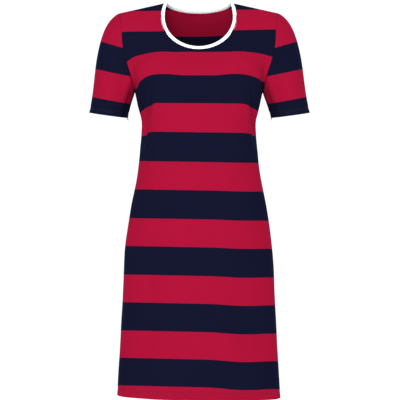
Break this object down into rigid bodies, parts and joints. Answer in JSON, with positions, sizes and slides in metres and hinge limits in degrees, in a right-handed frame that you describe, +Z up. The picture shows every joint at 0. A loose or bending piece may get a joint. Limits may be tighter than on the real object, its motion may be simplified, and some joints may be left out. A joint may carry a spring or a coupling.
{
  "type": "nightshirt",
  "caption": "Short-sleeved jersey nightshirt to above the knee, with broad red and navy cross stripes, a round neck with a white rib binding, and a slight A-line skirt, in its worn form.",
  "frame": {"origin": "midway between the neck ends of the two shoulder seams, where the wearer's shoulders carry it", "axes": "+Z up the worn garment, front faces -Y, wearer's left at +X"},
  "size_m": [0.532, 0.2676, 0.9499],
  "materials": {
    "striped_jersey": "matte single jersey, yarn-dyed in red and navy cross stripes",
    "neck_rib": "matte white rib knit"
  },
  "bodies": {
    "root": {"front": "striped_jersey", "back": "striped_jersey", "sleeve_left": "striped_jersey", "sleeve_right": "striped_jersey", "neck_binding": "neck_rib"}
  },
  "joints": []
}
